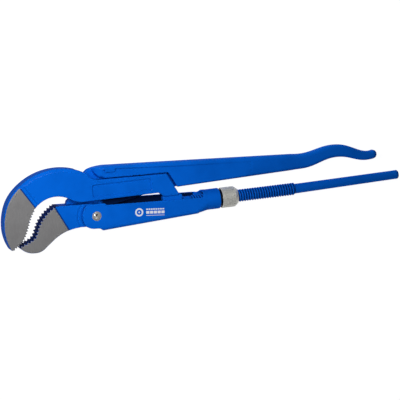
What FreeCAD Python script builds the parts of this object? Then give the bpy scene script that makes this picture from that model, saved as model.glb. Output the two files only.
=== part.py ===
import FreeCAD, Part
import math
import os

# Swedish-pattern pipe wrench for 2 inch pipe, lying on its side, in millimetres.
# Design frame: the adjusting thread's axis is the X axis, towards the ends of the handles; +Y is
# towards the upper handle; +Z is along the pivot rivet, away from the surface the tool lies on.
# Every piece is moved at the end, so that the origin is under the middle of the whole tool.

V = FreeCAD.Vector
X_AXIS = V(1, 0, 0)
Z_AXIS = V(0, 0, 1)

# Thicknesses, as half widths from the middle plane
HEAD_HALF = 11.8            # painted forgings at the jaws
GROUND_HALF = 11.0          # ground side faces of both jaws
EYE_HALF = 9.9              # lever eye between the cheeks
CHANNEL_HALF = 10.2         # inside of the housing
HOUSING_HALF = 13.6         # outside of the housing, and the collar's radius
CROSSING_GAP = 0.2          # both forgings stay this far from the middle plane where they cross

# Pivot
PIVOT = V(0, -2, 0)
RIVET_R = 5.0
RIVET_CLEARANCE = 0.05
RIVET_HEAD_R, RIVET_HEAD_HEIGHT = 6.2, 2.6
RIVET_SINK = 1.8            # countersunk head in the far cheek
EYE_R = 15.5
SHOULDER_R = 20.5           # step in the jaw around the cheeks
OUTER_SHOULDER_R = 26.0     # shallow step around that one
STEP_DEPTH = 0.8            # of the shallow steps in both jaws

# Thread, nut and collar
THREAD_R = 8.3
THREAD_PITCH = 3.5
THREAD_DEPTH = 1.7
THREAD_START, THREAD_END = 130.0, 273.0
COLLAR_START, COLLAR_END = 137.0, 168.6
COLLAR_BORE_R = 10.6
NUT_NECK_R = 10.5
NUT_NECK_LENGTH = 14.0
NUT_START, NUT_END = 171.0, 193.4
NUT_R = 13.5
NUT_BORE_R = 8.55
FLUTES = 40
FLUTE_DEPTH = 0.45
RING_X, RING_WIDTH = 160.0, 2.0
RING_INNER_R, RING_OUTER_R = 9.5, 11.6
RING_ROOM = 0.15            # groove clearance around the snap ring

# Round handle, bent slightly towards the upper handle
ROD_START, ROD_END = 275.0, 420.0
ROD_R_START, ROD_R_END = 6.5, 5.9
ROD_BEND_DEG = 1.0

# Teeth
HOOK_TEETH, HOOK_TOOTH_DEPTH = 15, 2.9
JAW_TEETH, JAW_TOOTH_DEPTH = 15, 3.1

FAR = 60.0                  # reach of a cutting body past everything


# Drawing helpers

def flat(point):
    return V(point[0], point[1], 0)


def curve_through(points):
    curve = Part.BSplineCurve()
    curve.interpolate(points)
    return curve.toShape()


def outline(start, *steps):
    """Closed face. A step of one point is a line, of two an arc, and of more a smooth curve."""
    edges = []
    here = flat(start)
    for step in steps:
        points = [here] + [flat(point) for point in step]
        if len(points) == 2:
            edges.append(Part.makeLine(points[0], points[1]))
        elif len(points) == 3:
            edges.append(Part.Arc(points[0], points[1], points[2]).toShape())
        else:
            edges.append(curve_through(points))
        here = points[-1]
    edges.append(Part.makeLine(here, flat(start)))
    return Part.Face(Part.Wire(edges))


def slab(face, low, high):
    """The face, drawn in XY, as a solid from height low to height high."""
    return face.translated(V(0, 0, low)).extrude(V(0, 0, high - low))


def wall(face):
    """The face, drawn as (x, z), as a solid that runs along Y past everything."""
    upright = face.copy()
    upright.rotate(V(0, 0, 0), X_AXIS, 90)
    return upright.translated(V(0, -FAR, 0)).extrude(V(0, 4 * FAR, 0))


def tooth_line(points, count, depth):
    """Zigzag of pointed teeth along a smooth line, as one outline step per flank."""
    edge = curve_through([flat(point) for point in points])
    corners = []
    for index, point in enumerate(edge.discretize(Number=2 * count + 1)):
        tangent = edge.tangentAt(edge.Curve.parameter(point))
        side = 1 if index % 2 else -1
        corner = point + V(-tangent.y, tangent.x, 0) * (side * depth / 2)
        corners.append((corner.x, corner.y))
    return corners


def turned(profile, axis_point=V(0, 0, 0), axis=X_AXIS):
    """Polygon of (along, radius) points turned about the axis through axis_point."""
    side = Z_AXIS if axis == X_AXIS else X_AXIS
    corners = [axis_point + axis * along + side * radius for along, radius in profile]
    face = Part.Face(Part.makePolygon(corners + [corners[0]]))
    return face.revolve(axis_point, axis, 360)


def pivot_disc(radius, low, high):
    return Part.makeCylinder(radius, high - low, PIVOT + V(0, 0, low), Z_AXIS)


def rounded_section(x, half, bottom, top, corner):
    """Rounded rectangle across the X axis, as a wire of four lines and four arcs."""
    wide, low, high = half - corner, bottom + corner, top - corner
    bow = corner * (1 - math.sqrt(0.5))
    corners = [
        ((wide, bottom), (half - bow, bottom + bow), (half, low)),
        ((half, high), (half - bow, top - bow), (wide, top)),
        ((-wide, top), (bow - half, top - bow), (-half, high)),
        ((-half, low), (bow - half, bottom + bow), (-wide, bottom)),
    ]
    edges = []
    for index, (first, middle, last) in enumerate(corners):
        points = [V(x, y, z) for z, y in (first, middle, last)]
        following = corners[(index + 1) % 4][0]
        edges.append(Part.Arc(points[0], points[1], points[2]).toShape())
        edges.append(Part.makeLine(points[2], V(x, following[1], following[0])))
    return Part.Wire(edges)


# Hook jaw with its shank, thread and round handle

HOOK_TOOTH_LINE = [(-80.4, 15.0), (-88.7, -1.0), (-95.2, -17.0), (-101.5, -25.8), (-109.8, -31.2)]
SHANK_TOP, SHANK_BACK_TOP = 44.5, 42.0      # the top edge falls slightly towards the slanted end
SHANK_BOTTOM, HEEL_BOTTOM = 18.2, 12.8
SHANK_END_TOP, SHANK_END_BOTTOM = 98.8, 112.0

# Heel under the shank, inside the channel, and the neck between it and the thread
HEEL_X, HEEL_Y, HEEL_LENGTH, HEEL_HEIGHT, HEEL_CORNER = 91.0, -8.0, 26.0, 21.5, 3.0
ROOT_X, ROOT_LENGTH = 104.0, 14.0           # square part of the neck
NECK_X, NECK_R = 110.0, 7.7

# Sunk panel in the near side of the shank
PANEL_X, PANEL_Y = -2.5, 22.0
PANEL_LENGTH, PANEL_WIDTH, PANEL_DEPTH, PANEL_CORNER = 79.0, 16.5, 1.2, 2.5

# Outer curve of the hook from its tip, and the width of its bevel at each point
HOOK_BACK = [(-114.6, -33.9), (-121.8, -14.0), (-120.2, 13.0), (-111.5, 33.0), (-95.0, 49.3), (-72.0, 60.9),
             (-46.5, 64.7), (-27.0, 62.2), (-8.0, 54.0)]
BACK_BEVEL = [0.0, 2.2, 3.0, 3.8, 4.4, 4.2, 3.8, 2.8, 0.0]


def hook_outline():
    teeth = tooth_line(HOOK_TOOTH_LINE, HOOK_TEETH, HOOK_TOOTH_DEPTH)
    return outline(
        teeth[-1],
        [(-110.4, -33.4)],
        [HOOK_BACK[0]],
        HOOK_BACK[1:],
        [(-2.0, 47.3), (9.0, SHANK_TOP)],
        [(SHANK_END_TOP - 3.7, SHANK_BACK_TOP)],
        [(SHANK_END_TOP - 1.2, SHANK_BACK_TOP - 0.7), (SHANK_END_TOP, SHANK_BACK_TOP - 2.5)],
        [(SHANK_END_BOTTOM, 15.5)],
        [(112.6, HEEL_BOTTOM)],
        [(94.0, HEEL_BOTTOM)],
        [(91.0, 13.5), (88.8, 15.5)],
        [(87.0, 17.4), (84.0, SHANK_BOTTOM)],
        [(-17.0, SHANK_BOTTOM)],
        [(-26.6, 20.4), (-33.0, 23.8)],
        [(-52.5, 29.3), (-79.4, 16.9)],
        *[[corner] for corner in teeth[:-1]],
    )


def back_bevel():
    """Cutter that rounds one outer edge of the hook in two slopes and fades out at both ends."""
    back = curve_through([flat(point) for point in HOOK_BACK])
    wires = []
    for height, share in ((HEAD_HALF - 3.6, -0.12), (HEAD_HALF - 1.3, 0.38), (HEAD_HALF + 0.3, 1.15)):
        inset = []
        for point, width in zip(HOOK_BACK, BACK_BEVEL):
            tangent = back.tangentAt(back.Curve.parameter(flat(point)))
            inward = V(tangent.y, -tangent.x, 0)
            inset.append(flat(point) + inward * (width * share - 0.1))
        corners = [inset[-1], V(10, 95, 0), V(-150, 95, 0), V(-150, -60, 0), inset[0]]
        edges = [curve_through(inset)] + [Part.makeLine(a, b) for a, b in zip(corners, corners[1:])]
        wires.append(Part.Wire(edges).translated(V(0, 0, height)))
    return Part.makeLoft(wires, True, True)


def thread():
    """Rod with a right-hand V thread cut into it."""
    length = THREAD_END - THREAD_START
    rod = Part.makeCylinder(THREAD_R, length, V(THREAD_START, 0, 0), X_AXIS)
    half = 0.42 * THREAD_PITCH
    helix = Part.makeLongHelix(THREAD_PITCH, length + 2 * THREAD_PITCH, THREAD_R, 0)
    corners = [V(THREAD_R + 0.3, 0, -half), V(THREAD_R + 0.3, 0, half), V(THREAD_R - THREAD_DEPTH, 0, 0)]
    cutter = Part.Wire(helix).makePipeShell([Part.makePolygon(corners + [corners[0]])], True, True)
    cutter.rotate(V(0, 0, 0), V(0, 1, 0), 90)
    cutter.translate(V(THREAD_START - THREAD_PITCH, 0, 0))
    return rod.cut(cutter)


def round_handle():
    bend = math.radians(ROD_BEND_DEG)
    along = V(math.cos(bend), math.sin(bend), 0)
    start = V(ROD_START, 0, 0)
    length = (ROD_END - ROD_START) / math.cos(bend)
    chamfer = 1.4
    body = Part.makeCone(ROD_R_START, ROD_R_END, length - chamfer, start, along)
    tip = Part.makeCone(ROD_R_END, ROD_R_END - chamfer, chamfer, start + along * (length - chamfer), along)
    knuckle = Part.makeSphere(ROD_R_START, start)
    undercut = Part.makeCylinder(ROD_R_START, ROD_START - THREAD_END, V(THREAD_END, 0, 0), X_AXIS)
    return undercut.fuse([knuckle, body, tip])


def hook_jaw_bar():
    body = slab(hook_outline(), -HEAD_HALF, HEAD_HALF)
    bevel = back_bevel()
    body = body.cut([bevel, bevel.mirror(V(0, 0, 0), Z_AXIS)])
    # the lever crosses behind the shank, so its far half is missing
    relief = outline((-38.5, 25), [(-20.5, 60)], [(-20.5, 90)], [(140, 90)], [(140, -20)], [(-38.5, -20)])
    body = body.cut(slab(relief, -FAR, CROSSING_GAP))
    # ground jaw faces and the sunk side panel
    ground = outline((-104.5, 56.5), [(-68, -0.5)], [(-90, -60)], [(-160, -60)], [(-160, 56.5)])
    body = body.cut([slab(ground, GROUND_HALF, FAR), slab(ground, -FAR, -GROUND_HALF)])
    # shallow step beside the ground face
    step = outline((-104.5, 56.5), [(-99.5, 59.8)], [(-63.0, 2.8)], [(-68, -0.5)])
    body = body.cut([slab(step, HEAD_HALF - STEP_DEPTH, FAR), slab(step, -FAR, STEP_DEPTH - HEAD_HALF)])
    panel = Part.makeBox(PANEL_LENGTH, PANEL_WIDTH, FAR, V(PANEL_X, PANEL_Y, HEAD_HALF - PANEL_DEPTH))
    panel = panel.makeFillet(PANEL_CORNER, [edge for edge in panel.Edges if edge.BoundBox.ZLength > FAR - 1])
    body = body.cut(panel)
    # heel inside the channel, then the square root of the neck and the neck
    heel = Part.makeBox(HEEL_LENGTH, HEEL_HEIGHT, EYE_HALF - CROSSING_GAP, V(HEEL_X, HEEL_Y, CROSSING_GAP))
    heel = heel.makeFillet(HEEL_CORNER, [edge for edge in heel.Edges if edge.BoundBox.ZLength > 9])
    root = Part.makeBox(ROOT_LENGTH, 2 * NECK_R, 2 * NECK_R, V(ROOT_X, -NECK_R, -NECK_R))
    neck = Part.makeCylinder(NECK_R, THREAD_START - NECK_X, V(NECK_X, 0, 0), X_AXIS)
    return body.fuse([heel, root, neck, thread(), round_handle()]).removeSplitter()


# Lever: lower jaw, eye, crossing web and upper handle

HANDLE_CORNER = 5.0
SHANK_ROOM = 1.3            # under the upper handle, above the shank
END_ROOM = 2.2              # between the handle and the slanted end of the shank
NOSE_BACK = 20.0

JAW_TOOTH_LINE = [(-53.5, 15.8), (-63.0, 9.3), (-73.0, -1.5), (-78.8, -13.0), (-82.5, -21.0),
                  (-91.5, -26.3), (-103.5, -31.5)]


def jaw_outline():
    teeth = tooth_line(JAW_TOOTH_LINE, JAW_TEETH, -JAW_TOOTH_DEPTH)
    return outline(
        teeth[-1],
        [(-95.5, -38.2), (-84.5, -40.7)],
        [(-76.0, -39.6), (-69.0, -35.0)],
        [(-56.0, -25.0)],
        [(-42.0, -17.9), (-20.0, -14.4)],
        [(-8.0, -15.4)],
        [(0, -2)],
        [(0, 13.4)],
        [(-11.0, 14.6)],
        [(-53.0, 16.8)],
        *[[corner] for corner in teeth[:-1]],
    )


def web_outline():
    return outline(
        (-37.0, 10.0),
        [(-35.0, 19.5)],
        [(-27.0, 27.5), (-20.0, 38.0)],
        [(-14.0, 47.0), (-9.0, 53.5)],
        [(60, 56)],
        [(125, 50)],
        [(121, 22.6)],
        [(85.0, 19.6), (56.0, 13.3)],
        [(30.0, 9.4)],
        [(20.0, 5.0), (14.0, -5.0)],
    )


# Upper handle, from the nose to the wavy end: (x, bottom, top) at each section
NOSE = [(-8.8, 52.6, 53.8), (-6.0, 51.8, 56.5), (-1.5, 50.6, 58.7), (5.0, 48.7, 60.3), (13.0, 46.2, 61.1),
        (NOSE_BACK, 44.0, 61.0)]
BEAM = [(NOSE_BACK, 44.0, 61.0), (113.0, 22.4, 55.8), (272.0, 25.7, 46.6)]
TAIL = [(272.0, 25.7, 46.6), (290.0, 26.4, 45.9), (306.0, 29.9, 48.7), (320.0, 34.1, 51.7),
        (334.0, 35.8, 52.4), (350.0, 33.5, 49.4), (366.0, 28.5, 42.4), (376.0, 27.2, 39.1),
        (386.0, 28.0, 39.6)]
TIP = [(386.0, 28.0, 39.6), (389.2, 29.2, 38.6), (391.0, 31.4, 36.2)]


# Stretches over which the handle's half thickness shrinks: (start, end, by how much)
HANDLE_TAPER = [(60.0, 240.0, 3.4), (240.0, 390.0, 1.3)]


def handle_half(x):
    """Half thickness of the upper handle at x. It narrows quickly at both tips."""
    if x > TIP[0][0]:
        return (TIP[-1][0] + 2 - x) * 1.5
    if x < -1:
        return HEAD_HALF + 0.3 * (x + 1)
    half = HEAD_HALF
    for start, end, loss in HANDLE_TAPER:
        half -= loss * min(max((x - start) / (end - start), 0), 1)
    return half


def beam_loft(sections, smooth):
    wires = []
    for x, bottom, top in sections:
        corner = min(HANDLE_CORNER, 0.7 * handle_half(x), 0.42 * (top - bottom))
        wires.append(rounded_section(x, handle_half(x), bottom, top, corner))
    return Part.makeLoft(wires, True, not smooth)


def upper_handle():
    handle = beam_loft(NOSE, True)
    handle = handle.fuse([beam_loft(BEAM, False), beam_loft(TAIL, True), beam_loft(TIP, False)])
    # room for the shank and its slanted end; the nose swells out of the middle plane behind it
    end_x, room_top = SHANK_END_TOP + END_ROOM, SHANK_BACK_TOP + SHANK_ROOM
    shank_room = outline(
        (-40, -30),
        [(124.0, -30)],
        [(end_x + 13.6, 18)],
        [(end_x, room_top)],
        [(13, SHANK_TOP + SHANK_ROOM)],
        [(8.0, 48.5), (1.5, 57.0)],
        [(1.5, 66)],
        [(-40, 66)],
    )
    nose_room = outline((-40, -CROSSING_GAP), [(1.0, -CROSSING_GAP)], [(6.0, 8.0), (18.0, 12.0)], [(18, 30)],
                        [(-40, 30)])
    handle = handle.cut([slab(shank_room, -CROSSING_GAP, FAR), wall(nose_room)])
    # shallow sunk sides under the upper flange, which has a lug at its front
    sunk = outline((5.0, 49.0), [(9.0, 56.9)], [(16.3, 56.9)], [(16.3, 52.8)], [(29.8, 52.8)],
                   [(29.8, 56.9)], [(113, 50.6)], [(216, 44.6)], [(216, 20)], [(118, 17)], [(5.0, 40)])
    for side in (1, -1):
        floor = outline((6, side * 12.2), [(16, side * 10.4)], [(60, side * 10.2)], [(130, side * 9.6)],
                        [(215, side * 8.9)], [(216, side * 20)], [(6, side * 20)])
        handle = handle.cut(slab(sunk, min(0, side * FAR), max(0, side * FAR)).common(wall(floor)))
    return handle


def lever_jaw():
    jaw = slab(jaw_outline(), -HEAD_HALF, HEAD_HALF)
    for radius, half in ((SHOULDER_R, EYE_HALF), (OUTER_SHOULDER_R, HEAD_HALF - STEP_DEPTH)):
        jaw = jaw.cut([pivot_disc(radius, half, FAR), pivot_disc(radius, -FAR, -half)])
    ground = outline((-68.0, 41.0), [(-53.6, 14.2)], [(-36.5, -19.5)], [(-25, -60)], [(-130, -60)],
                     [(-130, 41)])
    jaw = jaw.cut([slab(ground, GROUND_HALF, FAR), slab(ground, -FAR, -GROUND_HALF)])
    eye = pivot_disc(EYE_R, -EYE_HALF, EYE_HALF)
    web = slab(web_outline(), -EYE_HALF, -CROSSING_GAP)
    body = jaw.fuse([eye, web, upper_handle()])
    return body.cut(pivot_disc(RIVET_R + RIVET_CLEARANCE, -FAR, FAR)).removeSplitter()


# Housing: channel with two cheeks and a round collar

CHANNEL_FRONT, WEB_FRONT, OPENING_END = 8.0, 6.0, 145.5
BOTTOM_FRONT, BOTTOM_BACK = -22.4, -15.5
WALL = 3.1
FAR_WALL_RISE = 5.4


def channel_solid(half, rise, corner, bore_r):
    """Channel that tapers towards the collar, then turns into its round section."""
    side = outline((-30, BOTTOM_FRONT - 1.9 + rise), [(COLLAR_START, BOTTOM_BACK + rise)],
                   [(COLLAR_START, HOUSING_HALF)], [(-30, HOUSING_HALF)])
    front = slab(side, -half, half)
    bottom_edges = [edge for edge in front.Edges
                    if edge.BoundBox.XLength > 100 and edge.BoundBox.YMax < BOTTOM_BACK + rise + 0.1]
    front = front.makeFillet(corner, bottom_edges)
    steps = [
        rounded_section(COLLAR_START - 2, half - 0.1, BOTTOM_BACK + rise + 0.1, HOUSING_HALF - 0.1, corner),
        rounded_section(COLLAR_START + 14, bore_r, -bore_r, bore_r, bore_r - 0.1),
    ]
    return front.fuse(Part.makeLoft(steps, True, True))


def housing_outline(wall_rise):
    """Side view of one wall with the collar. The far wall rises higher behind the cheeks."""
    return outline(
        (-13.0, 12.6),
        [(-19.0, -2.0), (-14.5, -14.3)],
        [(-9.0, -17.3), (-2.0, -18.2)],
        [(5.0, -19.0)],
        [(CHANNEL_FRONT, -22.6)],
        [(CHANNEL_FRONT + 2, -30)],
        [(COLLAR_END, -30)],
        [(COLLAR_END, 30)],
        [(OPENING_END, 30)],
        [(OPENING_END, 5.2 + wall_rise + 3.8)],
        [(OPENING_END - 1.5, 5.6 + wall_rise), (OPENING_END - 5.5, 5.2 + wall_rise)],
        [(14.5, 10.8 + wall_rise)],
        [(12.0, 13.2)],
        [(-10.5, 14.8)],
    )


def countersink():
    return Part.makeCone(RIVET_R + RIVET_SINK, RIVET_R, RIVET_SINK, PIVOT + V(0, 0, -HOUSING_HALF), Z_AXIS)


def housing():
    body = channel_solid(HOUSING_HALF, 0, 5.0, HOUSING_HALF)
    round_start = COLLAR_START + 13
    collar = Part.makeCylinder(HOUSING_HALF, COLLAR_END - round_start, V(round_start, 0, 0), X_AXIS)
    side_views = slab(housing_outline(0), 0, FAR).fuse(slab(housing_outline(FAR_WALL_RISE), -FAR, 0))
    body = body.fuse(collar).common(side_views)
    body = body.cut(channel_solid(CHANNEL_HALF, WALL, 1.0, COLLAR_BORE_R))
    body = body.cut(Part.makeCylinder(COLLAR_BORE_R, 60, V(COLLAR_START + 10, 0, 0), X_AXIS))
    # no bottom between the cheeks
    body = body.cut(Part.makeBox(WEB_FRONT + 40, 80, 2 * CHANNEL_HALF, V(-40, -50, -CHANNEL_HALF)))
    groove = Part.makeCylinder(RING_OUTER_R + RING_ROOM, RING_WIDTH + 2 * RING_ROOM,
                               V(RING_X - RING_ROOM, 0, 0), X_AXIS)
    body = body.cut(groove)
    rim = [edge for edge in body.Edges
           if edge.BoundBox.XMin > COLLAR_END - 0.01 and edge.BoundBox.ZMax > COLLAR_BORE_R + 1]
    body = body.makeChamfer(0.8, rim)
    hole = pivot_disc(RIVET_R, -FAR, FAR)
    return body.cut([hole, countersink()])


def pivot_rivet():
    """Rivet with a polished dome on the near cheek and a flush head in the far one."""
    dome_r = (RIVET_HEAD_R ** 2 + RIVET_HEAD_HEIGHT ** 2) / (2 * RIVET_HEAD_HEIGHT)
    top = HOUSING_HALF + RIVET_HEAD_HEIGHT
    dome = Part.makeSphere(dome_r, PIVOT + V(0, 0, top - dome_r))
    dome = dome.common(pivot_disc(RIVET_HEAD_R, HOUSING_HALF, top))
    shank = pivot_disc(RIVET_R, -HOUSING_HALF, HOUSING_HALF)
    return shank.fuse([dome, countersink()]).removeSplitter()


def adjusting_nut():
    groove_r = RING_INNER_R - RING_ROOM
    neck_start = COLLAR_END - NUT_NECK_LENGTH
    profile = [
        (neck_start, NUT_BORE_R),
        (neck_start, NUT_NECK_R - 0.6),
        (neck_start + 0.6, NUT_NECK_R),
        (RING_X - RING_ROOM, NUT_NECK_R),
        (RING_X - RING_ROOM, groove_r),
        (RING_X + RING_WIDTH + RING_ROOM, groove_r),
        (RING_X + RING_WIDTH + RING_ROOM, NUT_NECK_R),
        (NUT_START, NUT_NECK_R),
        (NUT_START, NUT_R - 0.8),
        (NUT_START + 0.8, NUT_R),
        (NUT_END - 4.5, NUT_R),
        (NUT_END, NUT_R - 3.4),
        (NUT_END, NUT_BORE_R + 0.8),
        (NUT_END - 0.8, NUT_BORE_R),
    ]
    body = turned(profile)
    flutes = []
    for index in range(FLUTES):
        flute = Part.makeBox(NUT_END - NUT_START + 2, 1, 1, V(NUT_START - 1, -0.5, -0.5))
        flute.rotate(V(0, 0, 0), X_AXIS, 45)
        flute.translate(V(0, 0, NUT_R + 0.707 - FLUTE_DEPTH))
        flute.rotate(V(0, 0, 0), X_AXIS, 360 * index / FLUTES)
        flutes.append(flute)
    return body.cut(flutes)


def nut_snap_ring():
    """Open spring ring in the collar's groove; it reaches into the groove of the nut's neck."""
    ring = turned([(RING_X, RING_INNER_R), (RING_X, RING_OUTER_R), (RING_X + RING_WIDTH, RING_OUTER_R),
                   (RING_X + RING_WIDTH, RING_INNER_R)])
    return ring.cut(Part.makeBox(20, 5, 40, V(RING_X - 5, -2.5, 0)))


PIECES = {
    "hook_jaw_bar": hook_jaw_bar,
    "lever_jaw": lever_jaw,
    "housing": housing,
    "pivot_rivet": pivot_rivet,
    "adjusting_nut": adjusting_nut,
    "nut_snap_ring": nut_snap_ring,
}

os.makedirs("parts", exist_ok=True)
shapes = {name: make() for name, make in PIECES.items()}
whole = Part.makeCompound(list(shapes.values())).optimalBoundingBox()
to_origin = V(-whole.Center.x, -whole.Center.y, HOUSING_HALF)
for name, shape in shapes.items():
    shape.translate(to_origin)
    shape.exportStep("parts/" + name + ".step")
    print(name, "solids", len(shape.Solids), "valid", shape.isValid(), "cm3", round(shape.Volume / 1000, 2))
print("moved by", to_origin, "size", whole.XLength, whole.YLength, whole.ZLength)
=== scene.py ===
import math

import bmesh
import bpy
from mathutils import Matrix, Vector


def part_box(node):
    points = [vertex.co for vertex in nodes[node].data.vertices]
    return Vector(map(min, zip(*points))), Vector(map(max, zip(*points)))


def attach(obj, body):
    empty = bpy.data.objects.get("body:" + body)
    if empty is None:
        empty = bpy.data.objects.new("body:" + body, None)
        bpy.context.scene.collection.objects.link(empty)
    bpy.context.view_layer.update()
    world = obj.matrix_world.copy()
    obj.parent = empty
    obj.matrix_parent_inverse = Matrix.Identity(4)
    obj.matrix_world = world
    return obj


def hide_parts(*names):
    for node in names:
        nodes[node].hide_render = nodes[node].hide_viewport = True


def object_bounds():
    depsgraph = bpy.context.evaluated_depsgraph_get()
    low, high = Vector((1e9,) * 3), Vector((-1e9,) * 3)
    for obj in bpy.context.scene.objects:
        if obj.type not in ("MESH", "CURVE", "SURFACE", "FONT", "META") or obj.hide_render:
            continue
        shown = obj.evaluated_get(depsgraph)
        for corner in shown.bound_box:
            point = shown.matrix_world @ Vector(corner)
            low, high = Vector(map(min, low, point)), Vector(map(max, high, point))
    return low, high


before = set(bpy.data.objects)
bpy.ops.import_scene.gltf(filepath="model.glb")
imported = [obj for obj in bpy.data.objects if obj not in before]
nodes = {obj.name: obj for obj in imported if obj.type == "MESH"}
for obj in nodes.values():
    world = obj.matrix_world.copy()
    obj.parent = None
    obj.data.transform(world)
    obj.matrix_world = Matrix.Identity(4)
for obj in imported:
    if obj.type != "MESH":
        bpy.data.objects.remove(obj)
cad_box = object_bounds()

# Places. ORIGIN is on the adjusting thread's axis, above the pivot and at half thickness.
PIVOT_BELOW_AXIS = 0.002
rivet_low, rivet_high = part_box("pivot_rivet")
housing_low, housing_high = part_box("housing")
ORIGIN = Vector((
    (rivet_low.x + rivet_high.x) / 2,
    (rivet_low.y + rivet_high.y) / 2 + PIVOT_BELOW_AXIS,
    (housing_low.z + housing_high.z) / 2,
))


def at(x, y, z=0.0):
    """A point given in millimetres from ORIGIN."""
    return ORIGIN + Vector((x, y, z)) / 1000


def at_x(*values):
    """X of each value given in millimetres from ORIGIN."""
    return tuple(ORIGIN.x + value / 1000 for value in values)


def at_y(*values):
    """Y of each value given in millimetres from ORIGIN."""
    return tuple(ORIGIN.y + value / 1000 for value in values)


def add(name, data):
    """A new object with this data in the scene."""
    thing = bpy.data.objects.new(name, data)
    bpy.context.scene.collection.objects.link(thing)
    return thing


# Lines and limits on the pieces, in millimetres from ORIGIN. Lines are seen from above.
HOOK_GROUND = ((-79.1, 16.7), (-96.3, 43.5))
JAW_GROUND = ((-36.5, -19.5), (-53.6, 14.2))
GROUND_LOWEST = 10.3        # ground faces are at least this far from half thickness
GROUND_BORDER = 1.8
HOOK_TEETH = ((-80.4, 15.0), (-88.7, -1.0), (-95.2, -17.0), (-101.5, -25.8), (-109.8, -31.2))
JAW_TEETH = ((-52.0, 16.8), (-63.0, 9.3), (-73.0, -1.5), (-78.8, -13.0), (-82.5, -21.0), (-91.5, -26.3),
             (-103.5, -31.5))
TOOTH_REACH = 4.5
HEAD_SHADE_X = (0, -14)            # painted shade on the head's side faces fades in between these x
THREAD_X = (128, 273)
GROOVE_RADII = (8.1, 7.2)   # painted shade in the thread's grooves fades in between these radii
HOOK_TIP_X, LEVER_TIP_X = (415, 419), (386, 391)
CHANNEL_FLOOR = ((-30, -22.7), (137, -13.9))
CHANNEL_HALF, COLLAR_X, BORE_RADIUS = 10.3, 137.0, 11.5
FORK_HALF, FORK_X, FORK_Y = 9.95, (8, 14), (18, 16)
NUT_FACE_X = 171.2
# a painted dark reflection on the rivet's dome: its middle, and the radii where it fades in
REFLECTION_SPOT, REFLECTION_RADII = (-1.2, 0.4, 15.8), (2.3, 1.4)


# Materials
# First input, second input and output of a Mix node for each kind of value
MIX_SOCKETS = {"FLOAT": (2, 3, 0), "VECTOR": (4, 5, 1), "RGBA": (6, 7, 2)}


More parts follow.
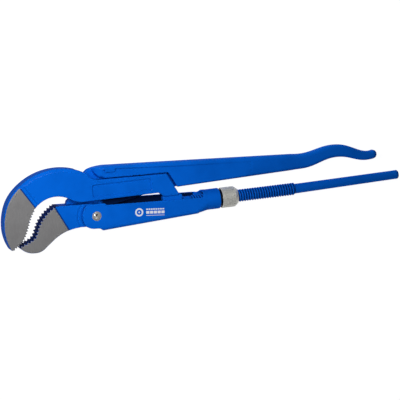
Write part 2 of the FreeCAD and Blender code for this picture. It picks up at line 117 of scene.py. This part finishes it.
class Shader:
    """A new material with its nodes added by short calls."""

    def __init__(self, name):
        self.material = bpy.data.materials.new(name)
        self.material.use_nodes = True
        self.tree = self.material.node_tree
        self.tree.nodes.clear()
        self.output = self.tree.nodes.new("ShaderNodeOutputMaterial")
        self.surface = self.tree.nodes.new("ShaderNodeBsdfPrincipled")
        self.tree.links.new(self.surface.outputs["BSDF"], self.output.inputs["Surface"])
        coordinates = self.tree.nodes.new("ShaderNodeTexCoord")
        self.place = coordinates.outputs["Object"]
        self.geometry = self.tree.nodes.new("ShaderNodeNewGeometry")

    def put(self, socket, value):
        """Sets a socket to a constant, or links it to another socket."""
        if isinstance(value, bpy.types.NodeSocket):
            self.tree.links.new(value, socket)
        elif isinstance(value, (tuple, list)) and len(value) == 3 and socket.type == "RGBA":
            socket.default_value = (*value, 1)
        else:
            socket.default_value = value

    def math(self, operation, first, second=0.0):
        node = self.tree.nodes.new("ShaderNodeMath")
        node.operation = operation
        self.put(node.inputs[0], first)
        self.put(node.inputs[1], second)
        return node.outputs[0]

    def times(self, first, second):
        return self.math("MULTIPLY", first, second)

    def either(self, first, second):
        """The greater of two masks."""
        return self.math("MAXIMUM", first, second)

    def vector(self, operation, first, second=(0, 0, 0), output=0):
        node = self.tree.nodes.new("ShaderNodeVectorMath")
        node.operation = operation
        self.put(node.inputs[0], first)
        self.put(node.inputs[1], second)
        return node.outputs[output]

    def between(self, kind, amount, first, second):
        """A value of this kind from first at amount 0 to second at amount 1."""
        first_input, second_input, output = MIX_SOCKETS[kind]
        node = self.tree.nodes.new("ShaderNodeMix")
        node.data_type = kind
        self.put(node.inputs[0], amount)
        self.put(node.inputs[first_input], first)
        self.put(node.inputs[second_input], second)
        return node.outputs[output]

    def mix(self, amount, first, second):
        return self.between("RGBA", amount, first, second)

    def blend(self, amount, first, second):
        return self.between("FLOAT", amount, first, second)

    def ramp(self, value, low, high):
        """0 at low and before it, 1 at high and past it, smooth between. High may be the smaller one."""
        node = self.tree.nodes.new("ShaderNodeMapRange")
        node.interpolation_type = "SMOOTHSTEP"
        for socket, number in zip(node.inputs, (value, low, high, 0.0, 1.0)):
            self.put(socket, number)
        return node.outputs[0]

    def noise(self, scale, detail=3.0, roughness=0.5, stretch=(1, 1, 1)):
        node = self.tree.nodes.new("ShaderNodeTexNoise")
        place = self.place
        if stretch != (1, 1, 1):
            place = self.vector("MULTIPLY", place, stretch)
        self.put(node.inputs["Vector"], place)
        node.inputs["Scale"].default_value = scale
        node.inputs["Detail"].default_value = detail
        node.inputs["Roughness"].default_value = roughness
        return node.outputs["Fac"]

    def bump(self, height, distance, strength=1.0, normal=None):
        node = self.tree.nodes.new("ShaderNodeBump")
        node.inputs["Distance"].default_value = distance
        node.inputs["Strength"].default_value = strength
        self.put(node.inputs["Height"], height)
        if normal is not None:
            self.put(node.inputs["Normal"], normal)
        return node.outputs["Normal"]

    def axis(self, letter, place=None):
        node = self.tree.nodes.new("ShaderNodeSeparateXYZ")
        self.put(node.inputs[0], self.place if place is None else place)
        return node.outputs["XYZ".index(letter)]

    def side_of(self, start, end, soft=0.0002):
        """1 to the left of the line from start to end, seen from above, both in millimetres."""
        a, b = at(*start), at(*end)
        along = (b - a).normalized()
        normal = Vector((-along.y, along.x, 0))
        reach = self.vector("DOT_PRODUCT", self.place, tuple(normal), 1)
        return self.ramp(self.math("SUBTRACT", reach, a.dot(normal)), -soft, soft)

    def near_line(self, points, reach):
        """1 within reach of a line through the points, seen from above, all in millimetres."""
        nearest = None
        for start, end in zip(points, points[1:]):
            a, along = at(*start), (Vector(end) - Vector(start)).to_3d() / 1000
            offset = self.vector("MULTIPLY", self.vector("SUBTRACT", self.place, tuple(a)), (1, 1, 0))
            share = self.vector("DOT_PRODUCT", offset, tuple(along / along.length_squared), 1)
            foot = self.tree.nodes.new("ShaderNodeVectorMath")
            foot.operation = "SCALE"
            foot.inputs[0].default_value = along
            self.put(foot.inputs["Scale"], self.math("MINIMUM", self.math("MAXIMUM", share, 0.0), 1.0))
            distance = self.vector("DISTANCE", offset, foot.outputs[0], 1)
            nearest = distance if nearest is None else self.math("MINIMUM", nearest, distance)
        return self.ramp(nearest, reach / 1000, 0.7 * reach / 1000)

    def from_axis(self):
        """Distance from the adjusting thread's axis, in metres."""
        offset = self.vector("SUBTRACT", self.place, tuple(ORIGIN))
        return self.vector("LENGTH", self.vector("MULTIPLY", offset, (0, 1, 1)), output=1)

    def from_middle(self):
        """Distance from half thickness, in metres."""
        return self.math("ABSOLUTE", self.math("SUBTRACT", self.axis("Z"), ORIGIN.z))

    def between_walls(self, half):
        """1 where half thickness is nearer than half, in millimetres."""
        return self.ramp(self.from_middle(), (half + 0.25) / 1000, (half - 0.1) / 1000)

    def set(self, **values):
        """Sets the surface's sockets and gives the finished material."""
        for name, value in values.items():
            self.put(self.surface.inputs[name.replace("_", " ")], value)
        return self.material


PAINT = (0.0012, 0.115, 0.62)
PAINT_CLOUD = (0.0008, 0.098, 0.54)
PAINT_DEEP = (0.0006, 0.03, 0.22)
PAINT_NAVY = (0.0006, 0.012, 0.10)
PAINT_EDGE = (0.008, 0.17, 0.74)
# painted near-black shade inside the housing's channel and bore and on the lever's fork
INSIDE_SHADE = (0.002, 0.004, 0.018)
PRINT = (0.80, 0.82, 0.85)
COAT = 0.045
GROUND_STEEL, GROUND_BRIGHT, GROUND_CLOUD = (0.185, 0.183, 0.187), (0.222, 0.22, 0.222), (0.165, 0.162, 0.165)

# Printed mark on the near side of the housing: a ring with a dot, and rows of plain blocks beside it, in
# millimetres and degrees. MARK_MIDDLE, the ring's middle, and MARK_LOWEST are from ORIGIN, the rest from the
# ring's middle. Each row is (middle, height, block, gap).
MARK_MIDDLE, MARK_TURN = (56.5, -3.7), -5.0
MARK_LOWEST = 12.5
MARK_SOFT = 0.1             # half width of the print's blurred edge
RING_RADIUS, RING_WIDTH, DOT_RADIUS = 4.4, 2.0, 1.1
ROW_START, ROW_END = 9.4, 34.0
ROWS = ((3.7, 1.7, 2.4, 0.7), (-0.4, 3.5, 4.2, 0.9), (-4.4, 0.6, 30.0, 0.0))


def printed_mark(shader):
    """1 on the printed mark."""
    middle, turn = at(*MARK_MIDDLE), math.radians(MARK_TURN)
    offset = shader.vector("SUBTRACT", shader.place, tuple(middle))
    along = shader.vector("DOT_PRODUCT", offset, (1000 * math.cos(turn), 1000 * math.sin(turn), 0), 1)
    across = shader.vector("DOT_PRODUCT", offset, (-1000 * math.sin(turn), 1000 * math.cos(turn), 0), 1)
    square = shader.math("ADD", shader.times(along, along), shader.times(across, across))
    radius = shader.math("SQRT", square)

    def within(distance, limit):
        return shader.ramp(distance, limit + MARK_SOFT, limit - MARK_SOFT)

    ring = within(shader.math("ABSOLUTE", shader.math("SUBTRACT", radius, RING_RADIUS)), RING_WIDTH / 2)
    mark = shader.either(ring, within(radius, DOT_RADIUS))
    for level, height, block, gap in ROWS:
        row = within(shader.math("ABSOLUTE", shader.math("SUBTRACT", across, level)), height / 2)
        row = shader.times(row, shader.math("GREATER_THAN", along, ROW_START))
        row = shader.times(row, shader.math("LESS_THAN", along, ROW_END))
        step = shader.math("MODULO", shader.math("SUBTRACT", along, ROW_START), block + gap)
        mark = shader.either(mark, shader.times(row, shader.math("LESS_THAN", step, block)))
    near = shader.math("GREATER_THAN", shader.axis("Z"), ORIGIN.z + MARK_LOWEST / 1000)
    return shader.times(mark, near)


def inside_housing(shader):
    """1 on the channel's inner faces and in the collar's bore."""
    channel = shader.math("LESS_THAN", shader.axis("X"), *at_x(COLLAR_X))
    channel = shader.times(channel, shader.side_of(*CHANNEL_FLOOR))
    bore = shader.math("LESS_THAN", shader.from_axis(), BORE_RADIUS / 1000)
    return shader.times(shader.between_walls(CHANNEL_HALF), shader.either(channel, bore))


def inside_fork(shader):
    """1 on the part of the lever between the housing's cheeks."""
    inside = shader.times(shader.between_walls(FORK_HALF), shader.ramp(shader.axis("X"), *at_x(*FORK_X)))
    return shader.times(inside, shader.ramp(shader.axis("Y"), *at_y(*FORK_Y)))


def blue_paint(name, ground=None, teeth=None, thread=None, shaded_inside=None, mark=False, tip=None):
    """Blue enamel over a forging.

    ground: both side faces are bare ground steel to the left of this line, with a painted navy shade along it.
    teeth: the edge faces near this line get a painted navy shade. thread: the grooves between these two x get
    painted shade. shaded_inside: a function that gives a mask, 1 where a painted near-black shade lies. mark: a
    ring and rows of blocks are printed on the near side. tip: the paint is darker past these two x.
    """
    shader = Shader(name)
    broad = shader.noise(28, 3.0, 0.55)
    peel = shader.noise(420, 2.0, 0.4)
    grit = shader.noise(110, 4.0, 0.6)
    pointiness = shader.geometry.outputs["Pointiness"]
    paint = shader.mix(shader.ramp(broad, 0.35, 0.72), PAINT, PAINT_CLOUD)
    # paint thins where it wraps an edge; creases and corners get a painted shade
    edge = shader.ramp(pointiness, 0.515, 0.57)
    crease_shade = shader.ramp(pointiness, 0.496, 0.462)
    paint = shader.mix(shader.times(edge, 0.4), paint, PAINT_EDGE)
    paint = shader.mix(shader.times(crease_shade, 0.75), paint, PAINT_DEEP)
    facing = shader.math("ABSOLUTE", shader.axis("Z", shader.geometry.outputs["Normal"]))
    # painted shade: the side faces of the head are darkened
    head_side_shade = shader.times(shader.ramp(facing, 0.6, 0.3), shader.ramp(shader.axis("X"), *at_x(*HEAD_SHADE_X)))
    paint = shader.mix(shader.times(head_side_shade, 0.5), paint, PAINT_DEEP)
    if teeth:
        # painted navy shade on the edge faces of the teeth
        teeth_shade = shader.times(shader.ramp(facing, 0.75, 0.55), shader.near_line(teeth, TOOTH_REACH))
        paint = shader.mix(shader.times(teeth_shade, 0.93), paint, PAINT_NAVY)
    if thread:
        first, last = at_x(*thread)
        along = shader.axis("X")
        inside = shader.times(shader.math("GREATER_THAN", along, first), shader.math("LESS_THAN", along, last))
        # painted shade in the thread's grooves
        groove_shade = shader.ramp(shader.from_axis(), *(radius / 1000 for radius in GROOVE_RADII))
        paint = shader.mix(shader.times(shader.times(groove_shade, inside), 0.8), paint, PAINT_NAVY)
    if shaded_inside:
        # painted near-black shade on the inner faces between the walls
        paint = shader.mix(shader.times(shaded_inside(shader), 0.94), paint, INSIDE_SHADE)
    if tip:
        paint = shader.mix(shader.times(shader.ramp(shader.axis("X"), *at_x(*tip)), 0.6), paint, PAINT_DEEP)
    if mark:
        paint = shader.mix(shader.times(printed_mark(shader), 0.88), paint, PRINT)
    paint_bump = shader.bump(grit, 0.00010, 0.4, shader.bump(peel, 0.00003, 0.3))
    rough = shader.blend(shader.ramp(broad, 0.3, 0.7), 0.42, 0.5)
    shader.set(Specular_IOR_Level=0.0, Coat_Weight=COAT, Coat_Roughness=0.16)
    if not ground:
        return shader.set(Base_Color=paint, Roughness=rough, Normal=paint_bump)
    level = shader.math("GREATER_THAN", shader.from_middle(), GROUND_LOWEST / 1000)
    # painted navy shade along the border of the ground faces
    paint = shader.mix(shader.times(shader.near_line(ground, GROUND_BORDER), 0.8), paint, PAINT_NAVY)
    bare = shader.times(shader.side_of(*ground), shader.math("GREATER_THAN", facing, 0.8))
    bare = shader.times(bare, level)
    # steel ground along one direction, with a cloudy shade
    scratches = shader.noise(60, 4.0, 0.7, (22, 2.5, 22))
    grain = shader.noise(900, 2.0, 0.5)
    cloud = shader.noise(45, 3.0, 0.6)
    steel = shader.mix(shader.ramp(scratches, 0.25, 0.8), GROUND_STEEL, GROUND_BRIGHT)
    steel = shader.mix(shader.times(shader.ramp(cloud, 0.4, 0.75), 0.5), steel, GROUND_CLOUD)
    steel_bump = shader.bump(scratches, 0.00001, 0.5, shader.bump(grain, 0.00001, 0.4))
    return shader.set(
        Base_Color=shader.mix(bare, paint, steel),
        Roughness=shader.blend(bare, rough, 0.55),
        Metallic=shader.times(bare, 0.3),
        Normal=shader.between("VECTOR", bare, paint_bump, steel_bump),
    )


def nut_steel():
    """Satin steel, with a painted black shade on the neck beside the collar and a painted shade in its creases.
    """
    shader = Shader("nut_steel")
    grain = shader.noise(700, 3.0, 0.6)
    cloud = shader.noise(120, 3.0, 0.6)
    steel = shader.mix(shader.ramp(grain, 0.3, 0.7), (0.56, 0.565, 0.535), (0.80, 0.80, 0.755))
    steel = shader.mix(shader.times(shader.ramp(cloud, 0.45, 0.75), 0.4), steel, (0.61, 0.605, 0.56))
    # painted shade in creases
    crease_shade = shader.ramp(shader.geometry.outputs["Pointiness"], 0.49, 0.42)
    steel = shader.mix(shader.times(crease_shade, 0.4), steel, (0.16, 0.155, 0.145))
    # painted black shade on the neck beside the collar
    neck_shade = shader.math("LESS_THAN", shader.axis("X"), *at_x(NUT_FACE_X))
    steel = shader.mix(neck_shade, steel, (0.006, 0.007, 0.012))
    return shader.set(
        Base_Color=steel,
        Metallic=0.55,
        Roughness=shader.blend(grain, 0.4, 0.55),
        Normal=shader.bump(grain, 0.00004, 0.6),
    )


def polished_steel():
    """Polished steel of the rivet, with a painted dark reflection on its dome."""
    shader = Shader("polished_steel")
    hairline = shader.noise(400, 3.0, 0.6)
    steel = shader.mix(shader.ramp(hairline, 0.3, 0.7), (0.66, 0.64, 0.60), (0.80, 0.78, 0.74))
    # painted dark reflection on the dome
    distance = shader.vector("DISTANCE", shader.place, tuple(at(*REFLECTION_SPOT)), 1)
    reflection_spot = shader.ramp(distance, *(radius / 1000 for radius in REFLECTION_RADII))
    steel = shader.mix(reflection_spot, steel, (0.01, 0.009, 0.008))
    return shader.set(
        Base_Color=steel,
        Metallic=0.7,
        Roughness=shader.blend(hairline, 0.16, 0.24),
        Normal=shader.bump(hairline, 0.00001, 0.3),
    )


def spring_steel():
    """Dark steel of the snap ring."""
    shader = Shader("spring_steel")
    grain = shader.noise(500, 2.0, 0.5)
    return shader.set(
        Base_Color=shader.mix(grain, (0.06, 0.06, 0.065), (0.12, 0.12, 0.125)),
        Metallic=1.0,
        Roughness=shader.blend(grain, 0.3, 0.42),
        Normal=shader.bump(grain, 0.00001, 0.4),
    )


# Blue pieces. The teeth and the thread are cut after forging and stay sharp. Each of their zones is the low and
# the high corner of a rectangle seen from above, in millimetres from ORIGIN.
CUT_ZONES = {
    "hook_jaw_bar": (((-112, -36), (-78, 18)), ((129, -50), (500, 50))),
    "lever_jaw": (((-106, -36), (-50, 18)),),
    "housing": (),
}
TRIANGLES = 185000          # about this many in each piece


def apply_modifiers(thing):
    """The object's mesh as its modifiers leave it, and no modifiers."""
    thing.data = bpy.data.meshes.new_from_object(thing.evaluated_get(bpy.context.evaluated_depsgraph_get()))
    thing.modifiers.clear()


def forging(node, body, material, voxel, smoothing):
    """Dense copy of a CAD node with its edges rounded, except in its cut zones. It stands for the node.

    voxel: size of its facets in metres. smoothing: how many times its edges are smoothed.
    """
    copy = add(node + "_forged", nodes[node].data.copy())
    remesh = copy.modifiers.new("remesh", "REMESH")
    remesh.mode = "VOXEL"
    remesh.voxel_size = voxel
    apply_modifiers(copy)

    groups = {"soft": [], "sharp": []}
    for vertex in copy.data.vertices:
        x, y, _ = (vertex.co - ORIGIN) * 1000
        cut = any(low[0] < x < high[0] and low[1] < y < high[1] for low, high in CUT_ZONES[node])
        groups["sharp" if cut else "soft"].append(vertex.index)
    for group, iterations in (("soft", smoothing), ("sharp", 1)):
        copy.vertex_groups.new(name=group).add(groups[group], 1.0, "REPLACE")
        smooth = copy.modifiers.new(group, "SMOOTH")
        smooth.factor = 0.5
        smooth.iterations = iterations
        smooth.vertex_group = group
    apply_modifiers(copy)
    copy.vertex_groups.clear()

    thin = copy.modifiers.new("thin", "DECIMATE")
    thin.ratio = min(1.0, TRIANGLES / (2 * len(copy.data.polygons)))
    apply_modifiers(copy)
    copy.data.materials.clear()
    copy.data.materials.append(material)
    copy.data.shade_smooth()
    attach(copy, body)
    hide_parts(node)


hook_paint = blue_paint("hook_paint", HOOK_GROUND, HOOK_TEETH, THREAD_X, tip=HOOK_TIP_X)
forging("hook_jaw_bar", "hook_bar", hook_paint, 0.00052, 4)
lever_paint = blue_paint("lever_paint", JAW_GROUND, JAW_TEETH, shaded_inside=inside_fork, tip=LEVER_TIP_X)
forging("lever_jaw", "lever", lever_paint, 0.00055, 4)
housing_paint = blue_paint("housing_paint", shaded_inside=inside_housing, mark=True)
forging("housing", "housing", housing_paint, 0.0005, 3)

for name, material in (("pivot_rivet", polished_steel()), ("adjusting_nut", nut_steel()),
                       ("nut_snap_ring", spring_steel())):
    mesh = nodes[name].data
    mesh.materials.clear()
    mesh.materials.append(material)


# Floor, light and camera
FLOOR_GAP = 0.0002
CAMERA_PLACE = (-721.97, 513.12, 3119.4)        # millimetres from ORIGIN
CAMERA_TURN, CAMERA_LIFT, CAMERA_ROLL = (math.radians(degrees) for degrees in (15.5, 9.0, 4.528))


def floor():
    mesh = bpy.data.meshes.new("floor")
    plane = bmesh.new()
    bmesh.ops.create_grid(plane, x_segments=1, y_segments=1, size=4)
    plane.to_mesh(mesh)
    plane.free()
    thing = add("floor", mesh)
    thing.location = (0, 0, cad_box[0][2] - FLOOR_GAP)
    shader = Shader("floor_white")
    mottle = shader.noise(3, 2.0, 0.5)
    mesh.materials.append(shader.set(
        Base_Color=shader.mix(mottle, (0.12, 0.12, 0.12), (0.13, 0.13, 0.13)),
        Roughness=0.9,
        Specular_IOR_Level=0.0,
        Emission_Color=(1, 1, 1),
        Emission_Strength=0.97,
    ))


def area_light(name, place, target, size, power):
    data = bpy.data.lights.new(name, "AREA")
    data.shape = "RECTANGLE"
    data.size, data.size_y = size
    data.energy = power
    thing = add(name, data)
    thing.location = place
    direction = Vector(target) - Vector(place)
    thing.rotation_euler = direction.to_track_quat("-Z", "Y").to_euler()


def camera():
    """Camera turned and lifted off the line square to the tool's side, then rolled."""
    back = Vector((-math.sin(CAMERA_TURN) * math.cos(CAMERA_LIFT), math.sin(CAMERA_LIFT),
                   math.cos(CAMERA_TURN) * math.cos(CAMERA_LIFT)))
    right = Vector((0, 1, 0)).cross(back).normalized()
    up = back.cross(right)
    rolled_right = math.cos(CAMERA_ROLL) * right - math.sin(CAMERA_ROLL) * up
    rolled_up = math.sin(CAMERA_ROLL) * right + math.cos(CAMERA_ROLL) * up
    data = bpy.data.cameras.new("camera")
    data.lens = 225
    data.sensor_width = 36
    data.clip_end = 50
    thing = add("camera", data)
    rotation = Matrix((rolled_right, rolled_up, back)).transposed()
    thing.matrix_world = Matrix.Translation(at(*CAMERA_PLACE)) @ rotation.to_4x4()
    bpy.context.scene.camera = thing


floor()
area_light("key", (-0.27, 0.2, 0.48), (-0.18, 0, 0), (0.4, 0.3), 2.9)
area_light("fill", (-0.2, -0.9, 1.2), (0, 0, 0), (0.8, 0.5), 1)
world = bpy.data.worlds.new("studio")
world.use_nodes = True
background = world.node_tree.nodes["Background"]
background.inputs["Color"].default_value = (1, 1, 1, 1)
background.inputs["Strength"].default_value = 0.1
bpy.context.scene.world = world
bpy.context.scene.view_settings.view_transform = "Standard"
camera()
